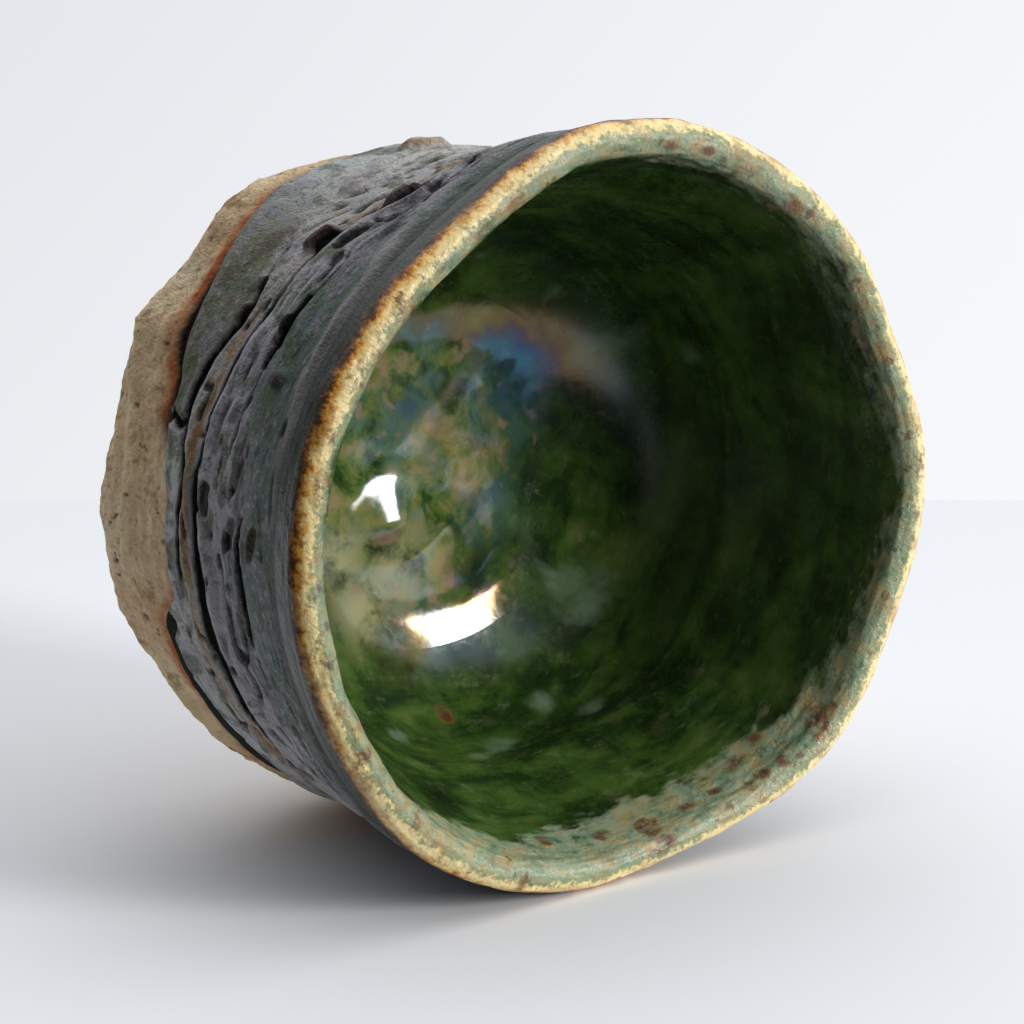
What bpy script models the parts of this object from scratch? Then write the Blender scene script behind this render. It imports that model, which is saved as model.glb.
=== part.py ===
"""A hand-made sake cup: a clay body on a foot ring, lapped bands of glazed clay outside, glaze inside.

The cup stands on its foot with +Z up through the mouth. The origin is the middle of the resting face.
Every piece is turned around Z from its section, then given the same hand-made irregular shape, so that
pieces that lie on each other keep their gap all the way round. All sizes are in metres.
"""
import math

import bmesh
import bpy

for leftover in list(bpy.data.objects):
    bpy.data.objects.remove(leftover)

# Overall sizes
mouth_diameter = 0.0640
hip_diameter = 0.0597
cup_height = 0.0420

# Foot ring
foot_diameter = 0.0380
foot_wall = 0.0052
foot_height = 0.0050
foot_edge = 0.0006
foot_taper = 0.0005

# Clay body
hip_rise = 0.0046
hip_rounding = 0.0060
waist_depth = 0.0013
lip_thickness = 0.0030
base_wall_thickness = 0.0041
floor_thickness = 0.0060
inside_corner_radius = 0.0140

# Glaze coats
coat_thickness = 0.0006
lip_skirt = 0.0038
pool_depth = 0.0012

# Outer bands: heights up the wall, the open groove that parts them, and how far each lower edge laps out
neck_band_height = 0.0052
torn_band_height = 0.0064
ledge_band_height = 0.0026
glaze_edge_height = 0.0028
groove = 0.0006
neck_band_lap = 0.0007
torn_band_lap = 0.0010
ledge_band_lap = 0.0008
glaze_edge_lap = 0.0007
band_upper_thickness = 0.0005

# Clearance between pieces that lie on each other
fit_gap = 0.0003

# The potter's hand: waves around the cup, as (number of waves, size, direction of a crest in degrees)
lip_outline_waves = (
    (1, 0.00050, 335),
    (2, 0.00030, 127),
    (3, 0.00048, 224),
    (4, 0.00038, 115),
    (5, 0.00022, 151),
    (7, 0.00020, 113),
)
hip_outline_waves = (
    (1, 0.00124, 89),
    (2, 0.00078, 54),
    (3, 0.00017, 60),
    (4, 0.00039, 321),
    (5, 0.00020, 200),
)
lip_height_waves = ((2, 0.00040, 40), (3, 0.00030, 250))

# How far the bands rise and dip, in the same form, with sizes as shares of the bare clay below them
band_drift_waves = ((1, 0.45, 140), (3, 0.065, 300), (5, 0.04, 80))

# Fineness of the curves
turn_steps = 48
wall_steps = 6
arc_steps = 6
sharp_edge_angle = math.radians(50)
merge_distance = 1e-6

# Looks from the photo: linear red, green and blue, then roughness
bare_clay = ((0.40, 0.28, 0.155), 0.85)
grey_blue_glaze = ((0.12, 0.14, 0.13), 0.40)
ochre_glaze = ((0.22, 0.12, 0.035), 0.45)
grey_green_glaze = ((0.10, 0.115, 0.085), 0.45)
teal_glaze = ((0.09, 0.13, 0.11), 0.30)
amber_glaze = ((0.40, 0.20, 0.04), 0.20)
bottle_green_glaze = ((0.020, 0.060, 0.022), 0.08)
deep_green_glaze = ((0.012, 0.034, 0.020), 0.05)

# Bands from the lip down to the glaze line: name, height, lap and look
bands = (
    ("neck_band", neck_band_height, neck_band_lap, teal_glaze),
    ("torn_band", torn_band_height, torn_band_lap, grey_green_glaze),
    ("ledge_band", ledge_band_height, ledge_band_lap, ochre_glaze),
    ("glaze_edge_band", glaze_edge_height, glaze_edge_lap, grey_blue_glaze),
)

# Sizes worked out from those above
mouth_radius = mouth_diameter / 2
hip_radius = hip_diameter / 2
foot_radius = foot_diameter / 2
hip_height = foot_height + hip_rise
floor_height = foot_height + floor_thickness
inside_corner_height = floor_height + inside_corner_radius
lip_centre_radius = mouth_radius - lip_thickness / 2
lip_centre_height = cup_height - lip_thickness / 2
lip_skirt_height = cup_height - lip_skirt
clay_lip_round = lip_thickness / 2 - coat_thickness - fit_gap
glaze_line_height = lip_skirt_height - sum(height + groove for _, height, _, _ in bands)
bare_clay_height = glaze_line_height - hip_height


def wave(waves, angle):
    """Sum of the waves at an angle around the cup."""
    return sum(size * math.cos(count * angle - math.radians(crest)) for count, size, crest in waves)


def share_up_wall(height):
    """Nothing at the hip and below, one at the lip."""
    share = (height - hip_height) / (lip_centre_height - hip_height)
    return min(max(share, 0.0), 1.0)


def wall_radius(height):
    """Outer radius of the clay wall: nearly straight from hip to lip, drawn in a little at the waist."""
    share = share_up_wall(height)
    straight = hip_radius + share * (lip_centre_radius + clay_lip_round - hip_radius)
    return straight - waist_depth * math.sin(math.pi * share)


inside_base_radius = wall_radius(inside_corner_height) - base_wall_thickness
inside_corner_centre = inside_base_radius - inside_corner_radius


def inside_radius(height):
    """Inner radius of the clay wall: straight from the lip down to the rounded corner of the floor."""
    share = (height - inside_corner_height) / (lip_centre_height - inside_corner_height)
    return inside_base_radius + share * (lip_centre_radius - clay_lip_round - inside_base_radius)


def evenly(first, last, steps):
    """Values from first to last in even steps."""
    return [first + (last - first) * step / steps for step in range(steps + 1)]


def arc(centre_radius, centre_height, reach_out, reach_up, start, end):
    """Points of a round or oval arc in a section, with its angles in degrees."""
    turns = [math.radians(turn) for turn in evenly(start, end, arc_steps)]
    return [
        (centre_radius + reach_out * math.cos(turn), centre_height + reach_up * math.sin(turn))
        for turn in turns
    ]


def inside_outline(top_height, offset):
    """The inside of the clay, moved in by offset, from top_height down to the middle of the floor."""
    heights = evenly(top_height, inside_corner_height, wall_steps // 2)
    wall = [(inside_radius(height) - offset, height) for height in heights[:-1]]
    corner_round = inside_corner_radius - offset
    corner = arc(inside_corner_centre, inside_corner_height, corner_round, corner_round, 0, -90)
    return wall + corner + [(0.0, floor_height + offset)]


def drift_on_wall(position):
    """Let a band rise and dip around the cup, most at the glaze line, and stay on the clay wall."""
    angle = math.atan2(position.y, position.x)
    radius = math.hypot(position.x, position.y)
    looseness = (lip_skirt_height - position.z) / (lip_skirt_height - glaze_line_height)
    height = position.z + wave(band_drift_waves, angle) * bare_clay_height * looseness
    radius += wall_radius(height) - wall_radius(position.z)
    position.x = radius * math.cos(angle)
    position.y = radius * math.sin(angle)
    position.z = height


def shape_by_hand(position):
    """Move a point of the true turned shape to where it lies on the uneven hand-made cup."""
    angle = math.atan2(position.y, position.x)
    reach = (math.hypot(position.x, position.y) / mouth_radius) ** 2
    share = share_up_wall(position.z)
    outward = share * wave(lip_outline_waves, angle) + (1 - share) * wave(hip_outline_waves, angle)
    position.x += outward * reach * math.cos(angle)
    position.y += outward * reach * math.sin(angle)
    position.z += wave(lip_height_waves, angle) * reach * share**2


def make_material(name, look):
    colour, roughness = look
    material = bpy.data.materials.new(name)
    material.use_nodes = True
    shader = material.node_tree.nodes["Principled BSDF"]
    shader.inputs["Base Color"].default_value = (*colour, 1.0)
    shader.inputs["Roughness"].default_value = roughness
    shader.inputs["Metallic"].default_value = 0.0
    return material


def turn_shape(section):
    """Turn a section around Z. It is a closed loop, or a line that starts and ends on the axis."""
    shape = bmesh.new()
    points = [shape.verts.new((radius, 0.0, height)) for radius, height in section]
    pairs = list(zip(points, points[1:]))
    if section[0][0] > 0.0:
        pairs.append((points[-1], points[0]))
    edges = [shape.edges.new(pair) for pair in pairs]
    bmesh.ops.spin(
        shape,
        geom=points + edges,
        cent=(0.0, 0.0, 0.0),
        axis=(0.0, 0.0, 1.0),
        angle=math.tau,
        steps=turn_steps,
    )
    bmesh.ops.remove_doubles(shape, verts=shape.verts, dist=merge_distance)
    bmesh.ops.recalc_face_normals(shape, faces=shape.faces)
    return shape


def make_piece(name, section, look, drifts=False):
    """Turn a section, shape it by hand and make it a named piece of the cup."""
    shape = turn_shape(section)
    for vertex in shape.verts:
        if drifts:
            drift_on_wall(vertex.co)
        shape_by_hand(vertex.co)
    mesh = bpy.data.meshes.new(name)
    shape.to_mesh(mesh)
    shape.free()
    mesh.shade_smooth()
    mesh.set_sharp_from_angle(angle=sharp_edge_angle)
    mesh.materials.append(make_material(name, look))
    piece = bpy.data.objects.new(name, mesh)
    bpy.context.scene.collection.objects.link(piece)
    piece.parent = cup


def make_foot_ring():
    top = foot_height - fit_gap
    bore = foot_radius - foot_wall
    section = [
        (bore, top),
        (bore + foot_taper, foot_edge),
        (bore + foot_taper + foot_edge, 0.0),
        (foot_radius - foot_taper - foot_edge, 0.0),
        (foot_radius - foot_taper, foot_edge),
        (foot_radius, top),
    ]
    make_piece("foot_ring", section, bare_clay)


def make_clay_body():
    underside = [(0.0, foot_height), (foot_radius, foot_height)]
    hip = arc(hip_radius - hip_rounding, hip_height, hip_rounding, hip_rise, -90, 0)
    wall_heights = evenly(hip_height, lip_centre_height, wall_steps)[1:-1]
    wall = [(wall_radius(height), height) for height in wall_heights]
    lip = arc(lip_centre_radius, lip_centre_height, clay_lip_round, clay_lip_round, 0, 180)
    inside = inside_outline(lip_centre_height, 0.0)[1:]
    make_piece("clay_body", underside + hip + wall + lip + inside, bare_clay)


def make_lip_glaze():
    outer_round = lip_thickness / 2
    seat_round = clay_lip_round + fit_gap
    skirt_outside = wall_radius(lip_skirt_height) + fit_gap
    skirt_inside = inside_radius(lip_skirt_height) - fit_gap
    over = arc(lip_centre_radius, lip_centre_height, outer_round, outer_round, 0, 180)
    seat = arc(lip_centre_radius, lip_centre_height, seat_round, seat_round, 180, 0)
    ends_inside = [(skirt_inside - coat_thickness, lip_skirt_height), (skirt_inside, lip_skirt_height)]
    ends_outside = [(skirt_outside, lip_skirt_height), (skirt_outside + coat_thickness, lip_skirt_height)]
    make_piece("lip_glaze", over + ends_inside + seat + ends_outside, amber_glaze)


def make_inner_glaze():
    top = lip_skirt_height - fit_gap
    back = inside_outline(top, fit_gap)
    front = inside_outline(top, fit_gap + coat_thickness)
    make_piece("inner_glaze", back[::-1] + front, bottle_green_glaze)


def make_glaze_pool():
    offset = 2 * fit_gap + coat_thickness
    bed_round = inside_corner_radius - offset
    level = floor_height + offset + pool_depth
    shore = math.degrees(math.asin((level - inside_corner_height) / bed_round))
    bed = arc(inside_corner_centre, inside_corner_height, bed_round, bed_round, -90, shore)
    make_piece("glaze_pool", [(0.0, floor_height + offset)] + bed + [(0.0, level)], deep_green_glaze)


def make_band(name, bottom, top, lap, look):
    """A lapped band on the clay wall, thick at its lower edge, where it overhangs what is below."""
    middle = (bottom + top) / 2
    low_seat, middle_seat, top_seat = (wall_radius(height) + fit_gap for height in (bottom, middle, top))
    corner = min(lap, top - bottom) / 3
    section = [
        (low_seat, bottom),
        (middle_seat, middle),
        (top_seat, top),
        (top_seat + band_upper_thickness / 2, top),
        (top_seat + band_upper_thickness, top - corner),
        (middle_seat + (lap + band_upper_thickness) / 2, middle),
        (low_seat + lap, bottom + corner),
        (low_seat + lap / 2, bottom),
    ]
    make_piece(name, section, look, drifts=True)


def make_bands():
    """Stack the bands down the wall from the lip, each with a groove above it."""
    edge = lip_skirt_height
    for name, height, lap, look in bands:
        top = edge - groove
        edge = top - height
        make_band(name, edge, top, lap, look)


cup = bpy.data.objects.new("sake_cup", None)
bpy.context.scene.collection.objects.link(cup)
make_foot_ring()
make_clay_body()
make_lip_glaze()
make_inner_glaze()
make_glaze_pool()
make_bands()
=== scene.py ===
"""Looks of a hand-made sake cup: torn bands of grey glaze, an amber lip, a glassy green inside, bare clay.

The cup stands upright in the part's frame. The photo shows it lying on its side, so the table is a plane
that touches the side of the cup, and the camera looks across that table into the mouth.
Places on the wall are given as degrees around the cup and millimetres below the mouth.
"""
import math
from functools import partial

import bpy
import numpy as np
from mathutils import Matrix, Vector


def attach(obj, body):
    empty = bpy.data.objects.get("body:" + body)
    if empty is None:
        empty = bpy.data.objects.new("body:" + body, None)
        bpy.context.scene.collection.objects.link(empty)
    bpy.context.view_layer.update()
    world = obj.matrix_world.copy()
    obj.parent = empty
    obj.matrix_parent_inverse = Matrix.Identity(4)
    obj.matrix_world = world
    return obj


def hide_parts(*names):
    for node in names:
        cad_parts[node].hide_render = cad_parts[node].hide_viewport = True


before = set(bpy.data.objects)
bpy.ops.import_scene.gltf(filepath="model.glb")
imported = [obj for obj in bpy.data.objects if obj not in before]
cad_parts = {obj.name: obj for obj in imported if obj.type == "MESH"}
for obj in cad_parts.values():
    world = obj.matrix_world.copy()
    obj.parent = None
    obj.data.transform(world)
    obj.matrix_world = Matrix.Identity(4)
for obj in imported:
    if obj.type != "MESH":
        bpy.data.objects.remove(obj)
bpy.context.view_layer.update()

mm = 0.001

# The true turned shape, as in the part
mouth_radius = 32.0 * mm
hip_radius = 29.85 * mm
cup_height = 42.0 * mm
foot_radius = 19.0 * mm
foot_wall = 5.2 * mm
foot_height = 5.0 * mm
hip_rise = 4.6 * mm
hip_rounding = 6.0 * mm
waist_depth = 1.3 * mm
lip_round = 1.5 * mm
clay_lip_round = 0.6 * mm
base_wall_thickness = 4.1 * mm
floor_height = 11.0 * mm
inside_corner_radius = 14.0 * mm
coat_front = 0.9 * mm
coat_back = 0.1 * mm
lip_skirt = 3.8 * mm
hip_height = foot_height + hip_rise
inside_corner_height = floor_height + inside_corner_radius
lip_centre_radius = mouth_radius - lip_round
lip_centre_height = cup_height - lip_round
lip_skirt_height = cup_height - lip_skirt

# The potter's hand, as in the part: (number of waves, size, direction of a crest in degrees)
lip_outline_waves = (
    (1, 0.50 * mm, 335),
    (2, 0.30 * mm, 127),
    (3, 0.48 * mm, 224),
    (4, 0.38 * mm, 115),
    (5, 0.22 * mm, 151),
    (7, 0.20 * mm, 113),
    (8, 0.16 * mm, 3),
)
hip_outline_waves = (
    (1, 1.24 * mm, 89),
    (2, 0.78 * mm, 54),
    (3, 0.17 * mm, 60),
    (4, 0.39 * mm, 321),
    (5, 0.20 * mm, 200),
)
lip_height_waves = ((2, 0.40 * mm, 40), (3, 0.30 * mm, 250))

# Lines around the outside, as (degrees, millimetres below the mouth)
glaze_edge_points = (
    (0, 26.9), (6, 26.2), (12, 25.6), (18, 24.8), (23, 23.9), (25.4, 23.8), (27, 24.3), (31, 23.8),
    (38, 23.3), (46, 23.2), (52, 23.2), (56.4, 23.5), (58.4, 25.0), (61.5, 26.2), (66, 26.5), (74, 26.6),
    (83, 26.9), (90, 27.3), (96, 27.4), (103, 25.6), (115, 22.8), (145, 20.8), (185, 21.2), (225, 22.8),
    (265, 25.0), (300, 27.4), (320, 28.6), (337, 29.1), (344, 29.4), (352, 28.4),
)
low_fissure_points = (
    (0, 20.2), (9, 19.2), (14, 20.2), (19, 21.0), (24, 21.3), (31, 20.8), (36, 20.5), (42, 20.5),
    (49, 21.0), (55, 21.6), (62, 22.5), (70, 22.2), (80, 21.2), (92, 19.8), (112, 18.0), (150, 17.2),
    (200, 18.0), (250, 20.0), (300, 21.6), (330, 22.4), (348, 22.0),
)
main_fissure_points = (
    (0, 16.6), (9, 16.7), (17, 17.3), (22, 17.8), (31, 18.1), (38, 18.2), (42, 18.1), (48, 17.8),
    (54, 17.9), (61, 18.2), (68, 17.8), (74, 17.6), (80, 17.1), (92, 15.8), (110, 14.8), (150, 14.4),
    (200, 15.2), (250, 16.2), (290, 14.6), (310, 12.6), (325, 11.7), (333, 11.8), (339, 12.3), (345, 13.8),
    (350, 15.4),
)
high_fissure_points = (
    (0, 11.6), (10, 12.4), (20, 12.9), (26, 12.0), (31, 11.0), (36, 10.3), (41, 11.0), (55, 10.6),
    (75, 9.4), (105, 8.8), (150, 8.8), (200, 9.2), (250, 9.8), (290, 8.8), (320, 8.0), (335, 8.2),
    (350, 10.2),
)
tongue_points = (
    (0, 33.0), (50, 33.0), (57, 27.0), (58.4, 24.6), (63.6, 24.5), (71, 24.3), (75, 23.8), (79, 23.4),
    (86, 23.0), (92, 23.2), (97, 24.2), (102, 25.3), (107, 26.4), (114, 33.0), (200, 33.0),
)
clay_ridge_points = (
    (0, 35.0), (6, 34.4), (12, 33.4), (16, 32.5), (23, 31.5), (31, 30.5), (42, 29.8), (60, 30.0),
    (100, 30.5), (180, 30.5), (260, 31.5), (320, 33.0), (345, 34.4),
)

# How open each line is around the cup, from closed to fully torn, and how wide, in millimetres
low_fissure_opening = (
    (0, 0.25), (9, 0.7), (15, 1.0), (30, 1.0), (40, 0.9), (47, 0.6), (54, 0.15), (65, 0.0), (95, 0.1),
    (130, 0.9), (180, 0.5), (240, 1.0), (300, 0.4), (330, 0.15), (350, 0.1),
)
main_fissure_opening = (
    (0, 0.25), (8, 0.4), (13, 1.0), (50, 1.0), (80, 1.0), (90, 0.5), (105, 0.35), (160, 0.9), (220, 0.6),
    (280, 1.0), (320, 0.8), (338, 1.0), (350, 0.9), (356, 0.3),
)
main_fissure_width = (
    (0, 0.9), (20, 1.0), (36, 1.1), (42, 1.3), (48, 1.7), (54, 2.1), (61, 2.7), (68, 3.1), (74, 2.8),
    (82, 2.0), (95, 1.2), (160, 1.4), (230, 1.0), (290, 1.4), (335, 1.1), (348, 1.0),
)
undercut_opening = (
    (0, 0.7), (4, 1.05), (9, 1.2), (15, 1.15), (21, 0.95), (26, 0.7), (29, 0.0), (56, 0.0), (100, 0.1),
    (150, 0.35), (210, 0.15), (270, 0.35), (320, 0.2), (345, 0.0), (353, 0.3),
)

# Extra swell of the hip over its waves, in millimetres
hip_swell_points = (
    (0, -0.47), (5, -0.48), (11, 0.02), (14, 0.42), (18, 0.1), (28, -0.24), (37, -0.15), (47, 0.18),
    (53, 0.22), (62, 0.05), (70, -0.2), (85, -0.05), (94, 0.15), (120, 0.1), (160, -0.1), (210, 0.1),
    (260, -0.1), (312, 0.3), (323, -0.45), (331, -0.2), (340, 0.22), (351, 0.33),
)

# Extra reach of the mouth over its waves, in millimetres
mouth_swell_points = (
    (0, 0.0), (90, 0.0), (145, 0.1), (164, 0.5), (176, 0.45), (188, 0.3), (198, 0.05), (209, 0.1),
    (217, 0.35), (225, 0.7), (236, 0.85), (248, 0.85), (256, 1.2), (266, 1.1), (275, 0.8), (290, 0.7),
    (298, 0.6), (305, 0.25), (312, -0.1), (322, 0.0),
)

# A soft fold along the neck: where it runs, as (degrees, millimetres below the mouth), and how far it rises
neck_fold_points = (
    (0, 5.2), (8, 4.9), (18, 5.2), (25, 4.7), (33, 4.6), (50, 5.4), (90, 6.0), (180, 6.6), (270, 7.4),
    (330, 8.0), (345, 7.6), (353, 6.6),
)
neck_fold_rise = (
    (0, 0.45), (20, 0.40), (30, 0.25), (40, 0.1), (90, 0.2), (150, 0.4), (220, 0.1), (290, 0.3),
    (340, 0.35),
)

# The pale glaze inside: how far it reaches below the lip, as (degrees, millimetres)
celadon_points = (
    (0, 0.3), (60, 0.8), (75, 1.8), (85, 2.6), (100, 5.0), (115, 4.3), (131, 5.9), (146, 5.5), (162, 5.3),
    (178, 4.6), (188, 3.6), (196, 2.6), (209, 1.5), (232, 1.3), (243, 1.2), (261, 1.1), (275, 1.0),
    (288, 1.6), (306, 1.6), (325, 1.0), (345, 0.4),
)
# How far the mint glaze moves out over the crest, as a share of the lip's width
lip_mint_shift = (
    (0, 0.0), (25, -0.01), (60, 0.02), (80, 0.04), (100, 0.04), (150, 0.03), (200, 0.0), (250, 0.02),
    (285, 0.06), (305, 0.08), (318, 0.05), (330, 0.03), (345, 0.03),
)

# Blotches inside, as (degrees, millimetres below the lip, half length, half height)
iron_spots = (
    (180.0, 1.3, 1.3, 0.9), (178.5, -0.2, 0.9, 0.6), (183.5, 0.6, 0.5, 0.4), (164.7, 4.0, 1.3, 0.7),
    (171.7, 4.6, 0.9, 0.6), (170.5, 0.7, 0.7, 0.6), (166.0, 1.1, 0.8, 0.6), (162.7, 0.6, 0.6, 0.5),
    (150.4, 2.4, 1.3, 0.6), (142.2, 2.2, 1.2, 1.2), (142.7, -0.2, 1.1, 0.7), (157.0, 0.1, 0.8, 0.5),
    (204.6, -0.2, 0.7, 0.5), (133.3, 3.5, 1.0, 0.6), (122.5, 4.1, 1.0, 0.5), (157.6, 2.4, 0.7, 0.5),
    (299.4, -0.6, 1.0, 0.4), (290.4, -0.2, 1.0, 0.4), (278.4, 0.1, 0.9, 0.6), (281.0, 1.5, 0.9, 0.5),
    (269.7, -2.0, 1.0, 0.7), (273.5, -1.9, 0.6, 0.5), (244.7, -0.4, 0.6, 0.4), (307.0, -0.5, 0.8, 0.3),
    (129.2, 24.6, 1.0, 0.9), (343.5, -1.0, 1.5, 0.7), (349.0, -1.9, 1.3, 0.5), (337.0, -0.6, 1.2, 0.5),
    (354.0, -0.9, 0.8, 0.4),
)
milky_spots = (
    (254.5, 26.2, 2.4, 2.4), (275.6, 26.7, 1.4, 0.8), (182.0, 26.8, 4.0, 1.8), (111.3, 21.9, 1.5, 0.9),
    (135.6, 19.6, 2.0, 1.3), (128.2, 18.3, 1.3, 0.7), (159.6, 19.0, 1.3, 0.8), (153.1, 22.8, 1.5, 1.0),
    (247.2, 19.2, 1.5, 1.2),
)
# The oily film on the floor, as (x, y, size in millimetres, strength), and its thickness in nanometres
film_spots = (
    (-1.0, -10.0, 11.0, 1.0), (-10.5, 3.5, 6.0, 0.9), (9.0, -8.0, 9.0, 0.9), (-7.0, 14.0, 5.0, 0.9),
)
film_thickness = 205.0
# Thin and pale glaze on the floor, and a painted blue sheen, in the same way
thin_spots = ((4.0, 2.0, 12.5, 1.0), (-4.0, 9.5, 6.5, 1.0))
blue_sheen_spots = ((-3.4, -12.0, 5.0, 1.0), (-7.5, -2.0, 3.2, 1.0), (5.0, -3.0, 3.0, 1.0))
pale_spots = ((-3.4, 8.2, 3.2, 1.0), (2.0, 11.0, 3.0, 1.0), (-3.0, 13.0, 3.4, 1.0))
# The swirl in the floor: its middle in millimetres from the axis, its curve, reach and rise, where its bank
# lies and how far it spreads, in degrees, and how sharply bowl and bank meet
swirl_middle = (4.7, 1.8)
swirl_curve = 15.5 * mm
swirl_reach = 6.3 * mm
swirl_rise = 1.3 * mm
swirl_side = 139
swirl_spread = 36
swirl_bend = 4.0
pool_radius = 17.0 * mm
pool_hollow = 0.4 * mm

# How far the glazed skin stands off the clay in millimetres: on its plain front, and where it is cut
plain_skin = 0.85
thin_skin = 0.20

# Where the high line stays closed, and where the clay is burnt, as a middle and a spread in degrees
closed_middle, closed_spread = 88, 7
burn_middle, burn_spread = 29.0, 4.0

# The glaze sheet that ends in a torn edge: where it fades in and where it ends, in degrees
sheet_start = 335
sheet_end = 26.6

# Chips and lumps under the glaze: degrees, then depth, half length, half height and rise in millimetres,
# then how much iron they show, or ochre where it is negative
lumps = (
    (353.3, 16.9, 1.7, 0.9, 1.0, 1.0),
    (341.3, 13.2, 1.9, 0.8, 0.8, 0.7),
    (348.6, 8.9, 1.6, 0.6, 0.5, 0.5),
    (340.7, 21.2, 1.2, 0.9, 0.4, 0.4),
    (3.4, 20.1, 1.2, 0.6, 0.5, 0.4),
    (8.8, 19.6, 0.9, 0.5, 0.5, 0.6),
    (18.1, 9.7, 0.9, 0.8, 0.7, 0.9),
    (8.7, 12.7, 1.4, 0.6, 0.5, 0.3),
    (24.0, 14.6, 1.2, 0.5, 0.4, 0.2),
    (330.0, 9.5, 1.8, 0.7, 0.5, 0.3),
    (36.0, 14.0, 1.0, 0.6, 0.4, 0.2),
    (322.0, 24.0, 2.4, 1.3, 0.9, -0.9),
    (356.0, 22.6, 2.4, 1.4, 0.05, 0.55),
    (24.6, 5.9, 0.9, 0.5, -0.35, 0.7),
    (33.6, 12.1, 1.8, 0.5, -0.5, 0.5),
    (41.8, 12.4, 1.7, 0.6, -0.5, 0.6),
    (42.0, 8.6, 1.5, 0.6, -0.45, 0.7),
    (54.8, 11.9, 1.4, 0.5, -0.4, 0.5),
)
# Chance lumps on the side that the photo hides, between these degrees
unseen_lump_count = 22
unseen_start, unseen_end = 112, 318

# Fineness
outside_columns = 1000
clay_columns = 760
inside_columns = 600
seam = 0.002 * mm
map_name = "OFBake"

# The photo's camera and table, in the part's frame
camera_place = Vector((0.1542, 0.0688, 0.2435))
camera_look = Vector((-0.56246, -0.24408, -0.7900)).normalized()
table_up = Vector((0.70976, -0.70243, 0.0367)).normalized()
camera_lens = 112.5
camera_sensor = 36.0
stage_width = 3.0
table_back = 0.4
table_front = 0.048
wall_back = 0.11
wall_height = 0.075
wall_fade_left = -0.15
wall_fade_right = 0.11

# Light: the window's place in the photo's studio and its size, in metres, and how bright the room is
window_place = (0.66, 0.21, 0.30)
window_size = (0.20, 0.28)
window_power = 4.6
window_colour = (1.0, 0.98, 0.95)
room_colour = (0.95, 0.97, 1.0, 1.0)
dark_side_glow = 0.04
bright_side_glow = 1.3

# Colours as they are seen: the glaze right under the lip, the stage, and the wall at its left and right
under_lip_colour = (46, 58, 48)
stage_colour = (238, 240, 244)
wall_glow = ((224, 226, 231), (247, 248, 252))

# Directions in the photo
photo_right = camera_look.cross(table_up).normalized()
photo_toward = photo_right.cross(table_up).normalized()
cup_middle = Vector((0.0, 0.0, cup_height / 2))


def studio(right, up, toward):
    """A place in the photo's studio, measured from the middle of the cup."""
    return cup_middle + photo_right * right + table_up * up + photo_toward * toward


def wave(waves, angle):
    """Sum of the waves at an angle around the cup."""
    return sum(size * np.cos(count * angle - math.radians(crest)) for count, size, crest in waves)


def closed_curve(points, angle):
    """A smooth closed curve through (degrees, value) points, read at each angle."""
    turns, values = np.array(points, float).T
    turns = np.concatenate([turns[-2:] - 360, turns, turns[:2] + 360])
    values = np.concatenate([values[-2:], values, values[:2]])
    slopes = np.gradient(values, turns)
    place = np.degrees(angle) % 360
    left = np.clip(np.searchsorted(turns, place, side="right") - 1, 0, len(turns) - 2)
    span = turns[left + 1] - turns[left]
    part = (place - turns[left]) / span
    rest = 1 - part
    ends = (1 + 2 * part) * rest**2 * values[left] + (3 - 2 * part) * part**2 * values[left + 1]
    return ends + part * rest * span * (rest * slopes[left] - part * slopes[left + 1])


def scatter(u, v, seed):
    """A repeatable random number from 0 to 1 for each pair of whole numbers."""
    mixed = (u.astype(np.int64) * 73856093) ^ (v.astype(np.int64) * 19349663) ^ (seed * 83492791)
    mixed = (mixed ^ (mixed >> 13)) * 1274126177
    return ((mixed ^ (mixed >> 16)) & 0xFFFF) / 65535.0


def patches(u, v, cells, seed):
    """Smooth random values from -1 to 1 on unit cells, repeating after so many cells along u."""
    u_low, v_low = np.floor(u), np.floor(v)
    u_part, v_part = u - u_low, v - v_low
    u_part = u_part * u_part * (3 - 2 * u_part)
    v_part = v_part * v_part * (3 - 2 * v_part)
    corner = [
        [scatter((u_low + right) % cells, v_low + up, seed) for right in (0, 1)] for up in (0, 1)
    ]
    low = corner[0][0] + (corner[0][1] - corner[0][0]) * u_part
    high = corner[1][0] + (corner[1][1] - corner[1][0]) * u_part
    return 2 * (low + (high - low) * v_part) - 1


def ring_noise(angle, depth, cells, tall, seed, layers=1):
    """Patches around the cup, this many in a turn and this tall, with finer layers at half the strength."""
    total = 0.0
    strength = 1.0
    for layer in range(layers):
        total = total + strength * patches(angle / math.tau * cells, depth / tall, cells, seed + layer)
        cells, tall, strength = cells * 2, tall / 2, strength / 2
    return total


def turn_noise(angle, cells, seed, layers=1):
    """Random values that change only around the cup."""
    return ring_noise(angle, 0 * angle, cells, 1.0, seed, layers)


def flat_noise(x, y, size, seed):
    """Patches of a size on the flat floor of the cup."""
    return patches(x / size, y / size, 1 << 20, seed)


def step(value, low, high):
    """Smoothly from nothing at low to one at high."""
    share = np.clip((value - low) / (high - low), 0, 1)
    return share * share * (3 - 2 * share)


def hump(distance, width):
    """One at no distance, falling away over the width."""
    return np.exp(-((distance / width) ** 2))


def share_up_wall(height):
    return np.clip((height - hip_height) / (lip_centre_height - hip_height), 0, 1)


def wall_radius(height):
    """Outer radius of the clay wall."""
    share = share_up_wall(height)
    straight = hip_radius + share * (lip_centre_radius + clay_lip_round - hip_radius)
    return straight - waist_depth * np.sin(np.pi * share)


inside_base_radius = float(wall_radius(inside_corner_height)) - base_wall_thickness
inside_corner_centre = inside_base_radius - inside_corner_radius


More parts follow.
